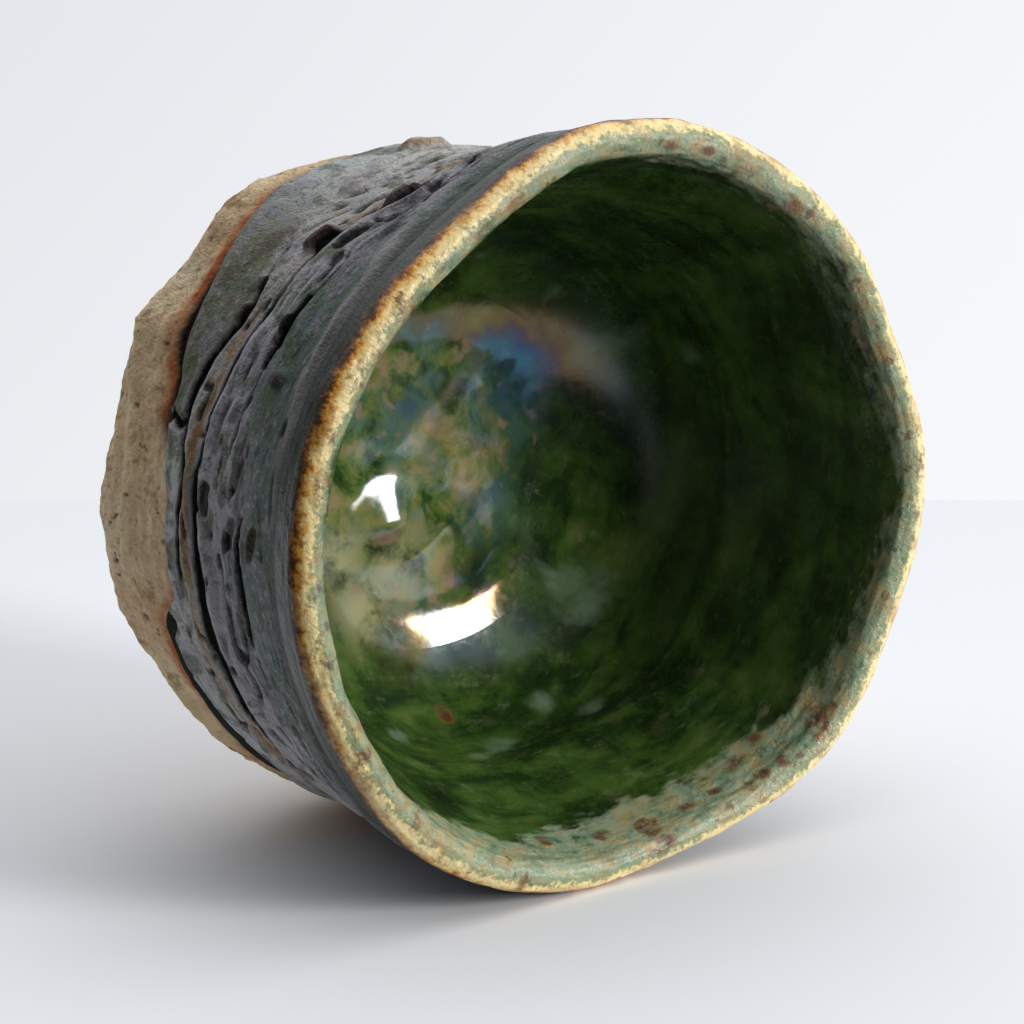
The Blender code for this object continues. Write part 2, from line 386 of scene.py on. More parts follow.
def inside_radius(height):
    """Inner radius of the clay wall above its rounded corner."""
    share = (height - inside_corner_height) / (lip_centre_height - inside_corner_height)
    return inside_base_radius + share * (lip_centre_radius - clay_lip_round - inside_base_radius)


def by_hand(radius, height, angle):
    """Points of the uneven hand-made cup, from the true turned shape."""
    reach = (radius / mouth_radius) ** 2
    share = share_up_wall(height)
    outward = share * wave(lip_outline_waves, angle) + (1 - share) * wave(hip_outline_waves, angle)
    outward = outward + share**2 * closed_curve(mouth_swell_points, angle) * mm
    uneven_radius = radius + outward * reach
    uneven_height = height + wave(lip_height_waves, angle) * reach * share**2
    x, y = uneven_radius * np.cos(angle), uneven_radius * np.sin(angle)
    return np.stack(np.broadcast_arrays(x, y, uneven_height), axis=-1)


def around(columns):
    """Even angles around the cup, as one row."""
    return (np.arange(columns) * (math.tau / columns))[None, :]


def arc(centre_radius, centre_height, reach_out, reach_up, start, end, rows):
    """Radius and height columns of a round or oval arc, with its angles in degrees."""
    turn = np.radians(np.linspace(start, end, rows))[:, None]
    return centre_radius + reach_out * np.cos(turn), centre_height + reach_up * np.sin(turn)


def join(*parts):
    """One section from parts of it, as its radius column and its height column."""
    return [np.concatenate(column) for column in zip(*parts)]


def run_along(radius, height):
    """How far along a section each of its points lies."""
    return np.concatenate([[0], np.cumsum(np.hypot(np.diff(radius[:, 0]), np.diff(height[:, 0])))])[:, None]


def facing(radius, height):
    """The direction that a section faces at each of its points, as outward and upward columns."""
    outward, upward = np.gradient(height[:, 0]), -np.gradient(radius[:, 0])
    length = np.hypot(outward, upward)
    return (outward / length)[:, None], (upward / length)[:, None]


def eased(rows):
    """From nothing to one down a column, closer together near both ends."""
    even = np.linspace(0, 1, rows)
    return (0.5 * even + 0.5 * (0.5 - 0.5 * np.cos(np.pi * even)))[:, None]


def signed_volume(points, faces):
    """Volume inside the faces, negative if they face inwards."""
    total = 0.0
    for a, b, c in ((0, 1, 2), (0, 2, 3)):
        corners = [points[faces[:, k]] for k in (a, b, c)]
        total += np.einsum("ij,ij->i", corners[0], np.cross(corners[1], corners[2])).sum() / 6
    return total


def add_object(name, data):
    thing = bpy.data.objects.new(name, data)
    bpy.context.scene.collection.objects.link(thing)
    return thing


def make_solid(name, points, masks, material, slot, node, on_axis=False, sharp=70):
    """A closed piece from rows of points around the cup: a closed loop of rows, or from axis to axis."""
    rows, columns, _ = points.shape
    index = np.arange(rows * columns).reshape(rows, columns)
    upper = index[:-1] if on_axis else index
    lower = index[1:] if on_axis else np.roll(index, -1, axis=0)
    faces = np.stack([upper, lower, np.roll(lower, -1, axis=1), np.roll(upper, -1, axis=1)], axis=-1)
    strips = len(upper)
    walk = np.linalg.norm(np.diff(points[:, 0], axis=0, append=points[:1, 0]), axis=-1)[:strips]
    down = np.concatenate([[0.0], np.cumsum(walk)]) / walk.sum()
    turn = np.arange(columns + 1) / columns
    quads = strips, columns, 4
    u = np.broadcast_to(np.stack([turn[:-1], turn[:-1], turn[1:], turn[1:]], -1), quads)
    v = np.broadcast_to(np.stack([down[:-1], down[1:], down[1:], down[:-1]], -1)[:, None], quads)
    corners = np.stack([u, 1 - v], axis=-1).reshape(-1, 4, 2)
    faces = faces.reshape(-1, 4)
    spots = points.reshape(-1, 3)
    if signed_volume(spots, faces) < 0:
        faces = faces[:, ::-1]
        corners = corners[:, ::-1]
    kept = np.arange(len(spots))
    if on_axis:
        kept[index[0]] = index[0, 0]
        kept[index[-1]] = index[-1, 0]
    faces = kept[faces]
    used = np.unique(faces)
    renumber = np.zeros(len(spots), int)
    renumber[used] = np.arange(len(used))
    polygons = []
    loops = []
    for face, corner in zip(renumber[faces].tolist(), corners.tolist()):
        fresh = [k for k in range(4) if face[k] != face[k - 1]]
        polygons.append([face[k] for k in fresh])
        loops.extend(corner[k] for k in fresh)
    mesh = bpy.data.meshes.new(name)
    mesh.from_pydata(spots[used].tolist(), [], polygons)
    layout = mesh.uv_layers.new(name=map_name)
    layout.uv.foreach_set("vector", np.array(loops, np.float32).ravel())
    for mask, values in masks.items():
        values = np.broadcast_to(values, (rows, columns)).reshape(-1)[used]
        mesh.attributes.new(mask, "FLOAT", "POINT").data.foreach_set("value", values.astype(np.float32))
    mesh.shade_smooth()
    mesh.set_sharp_from_angle(angle=math.radians(sharp))
    mesh.materials.append(material)
    piece = add_object(name, mesh)
    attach(piece, "root")
    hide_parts(node)
    return piece


# Lines on the wall, in metres below the mouth


def ragged(points, angle, seed):
    """A line around the wall, made a little ragged."""
    rough = 0.16 * turn_noise(angle, 70, seed) + 0.07 * turn_noise(angle, 210, seed + 1)
    return (closed_curve(points, angle) + rough) * mm


glaze_edge = partial(ragged, glaze_edge_points, seed=11)
low_fissure = partial(ragged, low_fissure_points, seed=21)
main_fissure = partial(ragged, main_fissure_points, seed=31)
high_fissure = partial(ragged, high_fissure_points, seed=41)


def lip_seam(angle):
    return lip_skirt + 0 * angle


def groove(below, width):
    """A groove's cut, from nothing to one: steep under the edge above it, a little easier below."""
    above_side = 1 - step(-below, 0.34 * width, 0.50 * width)
    below_side = 1 - step(below, 0.30 * width, 0.56 * width)
    return np.where(below < 0, above_side, below_side)


def opening(points, angle, uneven, cells, seed):
    """How open a line is around the cup, from 0 to 1, made a little uneven."""
    return np.clip(closed_curve(points, angle) * (1 + uneven * turn_noise(angle, cells, seed)), 0, 1)


def turn_between(angle, degrees):
    """Signed degrees from a direction, from -180 to 180."""
    return (np.degrees(angle) - degrees + 180) % 360 - 180


def lump_rise(angle, depth):
    """Chips and lumps on the wall: their rise in millimetres, and how much iron and ochre they show."""
    chance = np.random.default_rng(5)
    unseen = [
        (chance.uniform(unseen_start, unseen_end), chance.uniform(5, 19), chance.uniform(0.6, 1.7),
         chance.uniform(0.4, 0.8), chance.uniform(0.3, 0.8), chance.uniform(-0.5, 0.9))
        for _ in range(unseen_lump_count)
    ]
    rise = 0.0 * (angle + depth)
    iron = 0.0 * (angle + depth)
    ochre = 0.0 * (angle + depth)
    chipped = 0.22 * ring_noise(angle, depth, 150, 1.0 * mm, 95, 2)
    for degrees, low, half_length, half_height, height, stain in (*lumps, *unseen):
        along = np.radians(turn_between(angle, degrees)) * mouth_radius / mm
        across = depth / mm - low - 0.25 * along
        reach = np.hypot(along / half_length, across / half_height) + chipped
        shape = step(reach, 1.25, 0.55)
        rise = rise + height * shape
        iron = np.maximum(iron, max(stain, 0) * shape)
        ochre = np.maximum(ochre, max(-stain, 0) * shape)
    return rise, iron, ochre


def skin(angle, depth):
    """The glazed skin on the wall: how far it stands off the clay, and masks for its colours."""
    deep = depth / mm
    low_line, main_line, high_line = (line(angle) / mm for line in (low_fissure, main_fissure, high_fissure))
    edge_line = glaze_edge(angle) / mm
    flow = depth - main_fissure(angle)
    over_edge = edge_line - deep
    torn = step(deep - high_line, -0.8, 0.8) * step(low_line - deep, -0.4, 0.4)

    main_width = closed_curve(main_fissure_width, angle) * (1 + 0.18 * turn_noise(angle, 46, 81, 2))
    main_open = opening(main_fissure_opening, angle, 0.15, 60, 82)
    low_open = opening(low_fissure_opening, angle, 0.2, 50, 83)
    low_width = 0.5 + 0.6 * low_open
    closed = hump(turn_between(angle, closed_middle), closed_spread)
    high_open = step(turn_noise(angle, 52, 85), 0.0, 0.5) * (1 - closed)
    high_width = 0.7 + 0.5 * turn_noise(angle, 30, 86)
    main_cut = main_open * groove(deep - main_line, main_width)
    low_cut = low_open * groove(deep - low_line, low_width)
    high_cut = high_open * groove(deep - high_line, high_width)
    cuts = np.maximum.reduce([main_cut, low_cut, high_cut])

    swell = 0.20 * ring_noise(angle, depth, 18, 7 * mm, 51)
    swell = swell + 0.14 * ring_noise(angle, flow, 46, 2.4 * mm, 52, 2)
    # The streak relief also drives a painted highlight on its crests and painted shade in its hollows
    streak_with_sheen_and_shade = ring_noise(angle, flow, 60, 0.62 * mm, 61, 3) / 1.5
    crack = hump(ring_noise(angle, flow, 44, 0.95 * mm, 65), 0.12)
    crack = crack * step(ring_noise(angle, flow, 30, 2.2 * mm, 67), 0.0, 0.4)
    hole = step(ring_noise(angle, flow, 100, 0.8 * mm, 71), 0.50, 0.72)
    shelf = 0.45 * main_open * hump(deep - main_line + 0.5 * main_width + 0.55, 0.75)
    shelf = shelf + 0.30 * low_open * hump(deep - low_line + 0.9, 0.6)
    crest = main_open * hump(deep - main_line - 0.56 * main_width - 0.75, 0.55)
    # Painted highlight along the brinks of the lines and along the neck fold
    brink_highlight = main_open * hump(np.abs(deep - main_line) - 0.55 * main_width - 0.12, 0.2)
    brink_highlight = np.maximum(brink_highlight, low_open * hump(np.abs(deep - low_line) - 0.55 * low_width - 0.12, 0.2))
    fold = closed_curve(neck_fold_rise, angle) * hump(deep - closed_curve(neck_fold_points, angle), 1.3)
    brink_highlight = np.maximum(brink_highlight, 2.0 * fold * (0.75 + 0.5 * streak_with_sheen_and_shade))
    rise, iron, ochre = lump_rise(angle, depth)

    ragged_end = sheet_end + 0.9 * ring_noise(angle, depth, 7, 0.9 * mm, 91, 2)
    after_end = turn_between(angle, ragged_end)
    sheet = step(-after_end, 0.0, 0.9) * step(after_end, sheet_start - 360 - sheet_end, -28)
    sheet = sheet * step(deep - low_line, 0.1, 0.9)
    sheet_cut = step(deep - low_line, 0.2, 0.8) * hump(after_end - 0.7, 0.8)
    tongue = step(deep - closed_curve(tongue_points, angle), -0.12, 0.22)

    rough = 0.25 + 0.75 * torn
    calm = step(deep, 3.9, 5.0) * (1 - 0.85 * tongue) * (1 - 0.5 * sheet)
    torn_relief = rough * (0.20 * streak_with_sheen_and_shade - 0.42 * crack - 0.42 * hole)
    relief = swell + torn_relief + shelf + 0.10 * crest + fold + rise
    front = plain_skin + np.maximum(calm * relief, -0.45) + 0.30 * sheet - 0.50 * tongue
    cuts = np.maximum(cuts, 0.7 * sheet_cut)
    front = front + (thin_skin - front) * np.clip(cuts, 0, 1)
    roll = 0.55 + 0.65 * sheet
    rounding = np.sqrt(np.clip(1 - (1 - np.clip(over_edge / roll, 0, 1)) ** 2, 0, 1))
    stand = thin_skin + (np.maximum(front, thin_skin) - thin_skin) * (0.2 + 0.8 * rounding)
    lines = lip_skirt / mm, high_line, main_line, low_line, edge_line
    zone = sum(np.clip((deep - upper) / (lower - upper), 0, 1) for upper, lower in zip(lines, lines[1:]))
    slits = calm * rough * np.maximum(0.9 * step(crack, 0.25, 0.7), 0.85 * step(hole, 0.2, 0.7))
    masks = {
        # Painted shade in the cuts, cracks and holes
        "crevice_shade": np.clip(np.maximum(step(cuts, 0.06, 0.34), slits), 0, 1),
        "crest": np.clip(np.maximum(crest, ochre), 0, 1) * (1 - tongue),
        "brink_highlight": np.clip(brink_highlight, 0, 1),
        "streak_with_sheen_and_shade": np.clip(0.5 + 0.5 * streak_with_sheen_and_shade * calm * rough, 0, 1),
        "iron": iron,
        "tongue": tongue,
        "sheet": sheet,
        "edge": step(over_edge, 1.6, 0.0),
        "zone": zone / 4,
    }
    return stand * mm, masks


def make_coat(name, front, back, masks, material, slot, node, **kind):
    """A closed piece from a front with its masks and a hidden back, which carries none."""
    none = np.zeros(back.shape[:2])
    masks = {mask: np.concatenate([values, none]) for mask, values in masks.items()}
    return make_solid(name, np.concatenate([front, back]), masks, material, slot, node, **kind)


def make_band(name, top_line, bottom_line, rows, material, slot, node):
    """One band of the glazed skin between two lines on the wall."""
    angle = around(outside_columns)
    top = top_line(angle) + seam
    bottom = bottom_line(angle) - seam
    depth = top + (bottom - top) * eased(rows)
    stand, masks = skin(angle, depth)
    back_depth = bottom + (top - bottom) * np.linspace(0, 1, 5)[:, None]
    front = by_hand(wall_radius(cup_height - depth) + stand, cup_height - depth, angle)
    back = by_hand(wall_radius(cup_height - back_depth) + coat_back, cup_height - back_depth, angle)
    return make_coat(name, front, back, masks, material, slot, node)


def clay_relief(angle, run, scale=1.0):
    """Uneven gritty clay: how far it stands out in metres, and where it is pitted."""
    lumpy = 0.20 * ring_noise(angle, run, 34, 5 * mm, 101, 2)
    lumpy = lumpy + 0.09 * ring_noise(angle, run, 110, 1.7 * mm, 103, 2)
    grit = 0.085 * ring_noise(angle, run, 330, 0.55 * mm, 105, 2)
    scrape = 0.08 * ring_noise(angle, run, 22, 0.7 * mm, 107, 3)
    pit = step(ring_noise(angle, run, 240, 0.8 * mm, 111, 2), 0.88, 1.15)
    return (lumpy + grit + scrape - 0.26 * pit) * scale * mm, pit


def make_clay_body(material):
    """The clay: rough where it is bare, plain where glaze or the foot hides it."""
    angle = around(clay_columns)
    hip_start = hip_radius - hip_rounding
    bare_top = cup_height - 17.5 * mm
    to_foot = np.linspace(0, foot_radius, 8)[:, None]
    to_hip = np.linspace(foot_radius, hip_start, 10)[1:, None]
    under_radius = np.concatenate([to_foot, to_hip])
    under = under_radius, np.full_like(under_radius, foot_height)
    hip = arc(hip_start, hip_height, hip_rounding, hip_rise, -90, 0, 32)
    bare_height = np.linspace(hip_height, bare_top, 58)[1:, None]
    bare = wall_radius(bare_height), bare_height
    covered_height = np.linspace(bare_top, lip_centre_height, 5)[1:-1, None]
    covered = wall_radius(covered_height), covered_height
    lip = arc(lip_centre_radius, lip_centre_height, clay_lip_round, clay_lip_round, 0, 180, 7)
    inner_height = np.linspace(lip_centre_height, inside_corner_height, 4)[1:-1, None]
    inner = inside_radius(inner_height), inner_height
    reach = inside_corner_radius
    corner = arc(inside_corner_centre, inside_corner_height, reach, reach, 0, -90, 8)
    middle = np.linspace(inside_corner_centre, 0, 5)[1:, None], np.full((4, 1), floor_height)
    radius, height = join(under, hip, bare, covered, lip, inner, corner, middle)
    outside_rows = len(under[0]) + len(hip[0]) + len(bare[0])
    row = np.arange(len(radius))[:, None]
    outside = (row < outside_rows) * 1.0
    depth = cup_height - height
    below_edge = (depth - glaze_edge(angle)) / mm
    bare_share = step(below_edge, -0.3, 0.5) * outside * step(radius, 0.2 * foot_radius, foot_radius)
    relief, pit = clay_relief(angle, run_along(radius, height))
    swell = closed_curve(hip_swell_points, angle) * step(radius, foot_radius, hip_radius)
    swell = swell * step(below_edge, 0.0, 4.0)
    past_ridge = depth / mm - closed_curve(clay_ridge_points, angle) - 0.5 * turn_noise(angle, 40, 121, 3)
    # The ridge stands out, and is also lightened as a painted highlight
    ridge_with_highlight = hump(past_ridge, 0.7) * (0.6 + 0.6 * turn_noise(angle, 24, 123, 2))
    undercut = closed_curve(undercut_opening, angle)
    gap_end = 0.3 + 1.6 * undercut
    # A shallow gap under the glaze edge, painted near black as shade
    gap_with_shade = step(below_edge, -0.6, -0.2) * step(below_edge, gap_end + 0.2, gap_end - 0.2)
    gap_with_shade = gap_with_shade * step(undercut, 0.1, 0.35)
    shape = relief / mm + swell + 0.32 * ridge_with_highlight - 0.25 * step(past_ridge, 0.0, 1.2)
    push = (shape * bare_share - 0.30 * gap_with_shade) * outside * mm
    outward, upward = facing(radius, height)
    points = by_hand(np.maximum(radius + push * outward, 0), height + push * upward, angle)
    masks = {
        "pit": pit * bare_share,
        "flash": hump(below_edge - 0.5 - gap_end, 0.8) * outside,
        "burn": hump(turn_between(angle, burn_middle), burn_spread) * step(below_edge, 3.4, 0.6) * outside,
        "gap_with_shade": gap_with_shade * outside,
        "ridge_with_highlight": np.clip(ridge_with_highlight, 0, 1) * bare_share,
    }
    return make_solid("Clay_Body", points, masks, material, "bare_clay", "clay_body", on_axis=True)


def make_foot_ring(material):
    """The trimmed foot, with soft worn edges."""
    angle = around(outside_columns // 2)
    top = foot_height - 0.1 * mm
    bore = foot_radius - foot_wall
    edge = 0.8 * mm
    inner = np.full((12, 1), bore), np.linspace(top, edge, 12)[:, None]
    inner_edge = arc(bore + edge, edge, edge, edge, 180, 270, 7)
    face = np.linspace(bore + edge, foot_radius - edge, 14)[1:-1, None], np.zeros((12, 1))
    outer_edge = arc(foot_radius - edge, edge, edge, edge, 270, 360, 7)
    outer = np.full((14, 1), foot_radius), np.linspace(edge, top, 14)[:, None]
    radius, height = join(inner, inner_edge, face, outer_edge, outer)
    relief, pit = clay_relief(angle, radius + height, 0.55)
    side = np.clip((radius - (bore + foot_radius) / 2) / (foot_wall / 2), -1, 1)
    lift = np.minimum(relief, 0.0) * hump(height, edge)
    free = step(top - height, 0.0, 0.8 * mm)
    points = by_hand(radius + relief * side * free, np.maximum(height - lift, 0), angle)
    masks = {"pit": pit * free}
    return make_solid("Foot_Ring", points, masks, material, "bare_clay", "foot_ring")


def celadon_share(angle, down):
    """How much of the pale milky glaze covers the inside, this many millimetres below the lip."""
    uneven = 1.0 * ring_noise(angle, down * mm, 60, 2.2 * mm, 201, 4)
    return 1 - step(down - closed_curve(celadon_points, angle) + uneven, -1.2, 1.4)


def spot_share(angle, down, spots):
    """Round blotches on the inside, as (degrees, millimetres below the lip, half length, half height)."""
    share = 0.0 * (angle + down)
    uneven = 0.45 * ring_noise(angle, down * mm, 130, 1.0 * mm, 205, 3)
    for degrees, low, half_length, half_height in spots:
        along = np.radians(turn_between(angle, degrees)) * lip_centre_radius / mm
        reach = np.hypot(along / half_length, (down - low) / half_height) + uneven
        share = np.maximum(share, step(reach, 1.55, 0.1))
    return share


def make_lip(material):
    """The glazed lip, rolled over the top of the clay wall."""
    angle = around(outside_columns)
    skirt = np.linspace(lip_skirt_height + seam, lip_centre_height, 16)[:-1, None]
    outside = wall_radius(skirt) + coat_front, skirt
    over = arc(lip_centre_radius, lip_centre_height, lip_round, lip_round, 0, 180, 46)
    inside = inside_radius(skirt[::-1]) - coat_front, skirt[::-1]
    radius, height = join(outside, over, inside)
    seat_round = clay_lip_round + coat_back
    seat_in = inside_radius(skirt[::5]) - coat_back, skirt[::5]
    seat = arc(lip_centre_radius, lip_centre_height, seat_round, seat_round, 180, 0, 12)
    seat_out = wall_radius(skirt[::-5]) + coat_back, skirt[::-5]
    back_radius, back_height = join(seat_in, seat, seat_out)
    run = run_along(radius, height)
    across = run / run[-1]
    free = step(across, 0.0, 0.12) * step(across, 1.0, 0.88)
    relief = 0.10 * ring_noise(angle, run, 40, 2.2 * mm, 141, 2)
    relief = relief + 0.06 * ring_noise(angle, run, 90, 0.5 * mm, 143, 2)
    outward, upward = facing(radius, height)
    push = relief * free * mm
    front = by_hand(radius + push * outward, height + push * upward, angle)
    back = by_hand(back_radius, back_height, angle)
    down = (run - run[-1]) / mm + lip_skirt / mm
    masks = {
        "across": across + closed_curve(lip_mint_shift, angle) * step(across, 0.2, 0.32),
        "rise": np.clip(0.5 + 3 * relief, 0, 1),
        "celadon": celadon_share(angle, down),
        "stain": spot_share(angle, down, iron_spots),
    }
    return make_coat("Lip_Glaze", front, back, masks, material, "amber_glaze", "lip_glaze")


def inside_section(offset, top, wall_rows, corner_rows, floor_rows):
    """The inside of the clay moved in by an offset, from its top down to the middle of the floor."""
    wall_height = np.linspace(top, inside_corner_height, wall_rows)[:-1, None]
    wall = inside_radius(wall_height) - offset, wall_height
    reach = inside_corner_radius - offset
    corner = arc(inside_corner_centre, inside_corner_height, reach, reach, 0, -90, corner_rows)
    floor_radius = np.linspace(inside_corner_centre, 0, floor_rows)[1:, None]
    floor = floor_radius, np.full_like(floor_radius, floor_height + offset)
    return join(wall, corner, floor)


def strongest(x, y, spots, shape):
    """The strongest of some round spots at each place, by a shape of distance and size."""
    return np.maximum.reduce([
        strength * shape(np.hypot(x - spot_x, y - spot_y), size) for spot_x, spot_y, size, strength in spots
    ])


def plateau(distance, size):
    """One in the middle, and nothing from a little outside the size."""
    return step(distance, 1.3 * size, 0.7 * size)


def inside_masks(angle, radius, height):
    """Masks for the inside: pale near the lip, iron and milky blotches, thin glaze, a painted blue sheen,
    oily film, rings.
    """
    down = (cup_height - height) / mm
    x, y = radius * np.cos(angle) / mm, radius * np.sin(angle) / mm
    low = step(height, 24 * mm, 14 * mm)
    ring = 0.5 + 0.5 * np.sin(down / 2.7 * math.tau + 2.2 * ring_noise(angle, height, 7, 7 * mm, 165, 2))
    ring = ring * step(ring_noise(angle, height, 8, 4 * mm, 167), -0.5, 0.5) * step(height, 14 * mm, 20 * mm)
    return {
        "celadon": celadon_share(angle, down + 0 * angle),
        "stain": spot_share(angle, down, iron_spots),
        "milk": spot_share(angle, down, milky_spots),
        "thin": strongest(x, y, thin_spots, plateau) * low,
        "pale": strongest(x, y, pale_spots, hump) * low,
        # Painted blue sheen on the floor
        "blue": strongest(x, y, blue_sheen_spots, hump) * low,
        "film": strongest(x, y, film_spots, hump) * low,
        "ring": ring,
        "haze": step(radius, 15.0 * mm, 22 * mm) + 0 * angle,
    }


def make_inner_glaze(material):
    """The glassy glaze inside, over the soft rings left by throwing, and hollowed to take the pool."""
    angle = around(inside_columns)
    top = lip_skirt_height - seam
    radius, height = (column[::-1] for column in inside_section(coat_front, top, 60, 70, 14))
    back_radius, back_height = inside_section(coat_back, top, 5, 8, 4)
    depth = cup_height - height
    shift = 0.8 * np.sin(angle) + 1.5 * ring_noise(angle, depth, 9, 6 * mm, 161)
    rings = 0.012 * np.sin(depth / (3.4 * mm) * math.tau + shift)
    drift = 0.06 * ring_noise(angle, depth, 12, 8 * mm, 163, 2)
    free = step(height, lip_skirt_height, lip_skirt_height - 4 * mm) * step(radius, pool_radius, 24 * mm)
    push = (rings + drift) * free * mm
    hollow = pool_hollow * step(radius, pool_radius - 0.6 * mm, pool_radius - 1.6 * mm)
    front = by_hand(radius + push, height - hollow, angle)
    back = by_hand(back_radius, back_height, angle)
    masks = inside_masks(angle, radius, height)
    slot, node = "bottle_green_glaze", "inner_glaze"
    return make_coat("Inner_Glaze", front, back, masks, material, slot, node, on_axis=True, sharp=45)


def floor_level(radius):
    """Height of the glaze over the floor and its rounded corner."""
    past_flat = np.clip(radius - inside_corner_centre, 0, None)
    reach = inside_corner_radius - coat_front
    return inside_corner_height - np.sqrt(reach**2 - past_flat**2)


def swirl_height(x, y):
    """The low bank that the potter's finger left on one side of a shallow bowl in the floor."""
    swirl_x, swirl_y = swirl_middle
    from_middle = np.hypot(x - swirl_x * mm, y - swirl_y * mm)
    turn = np.arctan2(y - swirl_y * mm, x - swirl_x * mm)
    one_side = hump(turn_between(turn, swirl_side), swirl_spread)
    bowl = from_middle**2 / (2 * swirl_curve)
    least = 0.001 * mm
    bank = swirl_rise * (1 - 0.97 * step(from_middle, 1.0 * swirl_reach, 1.7 * swirl_reach)) + least
    both = np.maximum(bowl, least) ** -swirl_bend + bank**-swirl_bend
    return one_side * both ** (-1 / swirl_bend)


def make_glaze_pool(material):
    """Thick glaze that ran down and pooled on the floor, with a swirl left by the potter's finger."""
    angle = around(inside_columns)
    radius = pool_radius * np.linspace(0, 1, 90)[:, None]
    x, y = radius * np.cos(angle), radius * np.sin(angle)
    ripple = 0.06 * flat_noise(x, y, 4 * mm, 171) + 0.03 * flat_noise(x, y, 1.8 * mm, 173)
    inner_share = step(radius, pool_radius, pool_radius - 5 * mm)
    rim = 0.006 * mm * (2 * step(radius, pool_radius, pool_radius - 2.5 * mm) - 1)
    height = floor_level(radius) + rim + inner_share * (swirl_height(x, y) + ripple * mm)
    under_radius = pool_radius * np.linspace(1, 0, 24)[1:, None]
    under_share = step(under_radius, pool_radius - 0.8 * mm, pool_radius - 2.6 * mm)
    under_height = floor_level(under_radius) - 0.04 * mm - (pool_hollow - 0.10 * mm) * under_share
    top = by_hand(radius, height, angle)
    under = by_hand(under_radius, under_height, angle)
    masks = inside_masks(angle, radius, height)
    slot, node = "deep_green_glaze", "glaze_pool"
    return make_coat("Glaze_Pool", top, under, masks, material, slot, node, on_axis=True)


# Materials


def seen(red, green, blue):
    """A linear colour from the 0 to 255 values that it has on a screen."""
    parts = [part / 255 for part in (red, green, blue)]
    linear = [part / 12.92 if part <= 0.04045 else ((part + 0.055) / 1.055) ** 2.4 for part in parts]
    return (*linear, 1.0)


def start_material(name):
    material = bpy.data.materials.new(name)
    material.use_nodes = True
    return material, material.node_tree, material.node_tree.nodes["Principled BSDF"]


def give(tree, socket, value):
    """Set a socket to a value, or link another socket or the mask of this name into it."""
    if isinstance(value, str):
        mask = tree.nodes.new("ShaderNodeAttribute")
        mask.attribute_name = value
        value = mask.outputs["Fac"]
    if isinstance(value, bpy.types.NodeSocket):
        tree.links.new(value, socket)
    else:
        socket.default_value = value


def grain(tree, size, detail=3.0, rough=0.55, warp=0.0, stretch=(1.0, 1.0, 1.0)):
    """Noise from 0 to 1 with features of about this size in metres."""
    place = tree.nodes.new("ShaderNodeMapping")
    place.inputs["Scale"].default_value = stretch
    tree.links.new(tree.nodes.new("ShaderNodeTexCoord").outputs["Object"], place.inputs["Vector"])
    noise = tree.nodes.new("ShaderNodeTexNoise")
    noise.inputs["Scale"].default_value = 1 / size
    noise.inputs["Detail"].default_value = detail
    noise.inputs["Roughness"].default_value = rough
    noise.inputs["Distortion"].default_value = warp
    tree.links.new(place.outputs["Vector"], noise.inputs["Vector"])
    return noise.outputs["Fac"]


def spread(tree, value, low, high, to_low=0.0, to_high=1.0):
    """A value or mask moved smoothly from one range to another, and held inside it."""
    node = tree.nodes.new("ShaderNodeMapRange")
    node.interpolation_type = "SMOOTHSTEP"
    for socket, number in zip(("From Min", "From Max", "To Min", "To Max"), (low, high, to_low, to_high)):
        node.inputs[socket].default_value = number
    give(tree, node.inputs["Value"], value)
    return node.outputs["Result"]


def sums(tree, operation, first, second):
    node = tree.nodes.new("ShaderNodeMath")
    node.operation = operation
    give(tree, node.inputs[0], first)
    give(tree, node.inputs[1], second)
    return node.outputs["Value"]


def times(tree, first, second):
    return sums(tree, "MULTIPLY", first, second)


def blend(tree, share, first, second):
    """A colour between two, by a share."""
    node = tree.nodes.new("ShaderNodeMix")
    node.data_type = "RGBA"
    give(tree, node.inputs["Factor"], share)
    give(tree, node.inputs[6], first)
    give(tree, node.inputs[7], second)
    return node.outputs[2]


def lay(tree, colour, *coats):
    """A colour under coats, each a share and either a socket or the coat's colour as it is seen."""
    for share, coat in coats:
        colour = blend(tree, share, colour, seen(*coat) if isinstance(coat, tuple) else coat)
    return colour


def ramp(tree, value, *stops):
    """A colour read from stops, each a place from 0 to 1 and a colour as it is seen."""
    node = tree.nodes.new("ShaderNodeValToRGB")
    elements = node.color_ramp.elements
    while len(elements) < len(stops):
        elements.new(0.5)
    for element, (place, *colour) in zip(elements, stops):
        element.position = place
        element.color = seen(*colour)
    give(tree, node.inputs["Fac"], value)
    return node.outputs["Color"]


def along_direction(tree, direction, kind):
    """How far a place, for Object, or a line of sight, for Generated, goes in a direction."""
    node = tree.nodes.new("ShaderNodeVectorMath")
    node.operation = "DOT_PRODUCT"
    node.inputs[1].default_value = direction
    tree.links.new(tree.nodes.new("ShaderNodeTexCoord").outputs[kind], node.inputs[0])
    return node.outputs["Value"]


def raise_surface(tree, shader, height, distance, strength=1.0):
    bump = tree.nodes.new("ShaderNodeBump")
    bump.inputs["Distance"].default_value = distance
    bump.inputs["Strength"].default_value = strength
    tree.links.new(height, bump.inputs["Height"])
    tree.links.new(bump.outputs["Normal"], shader.inputs["Normal"])


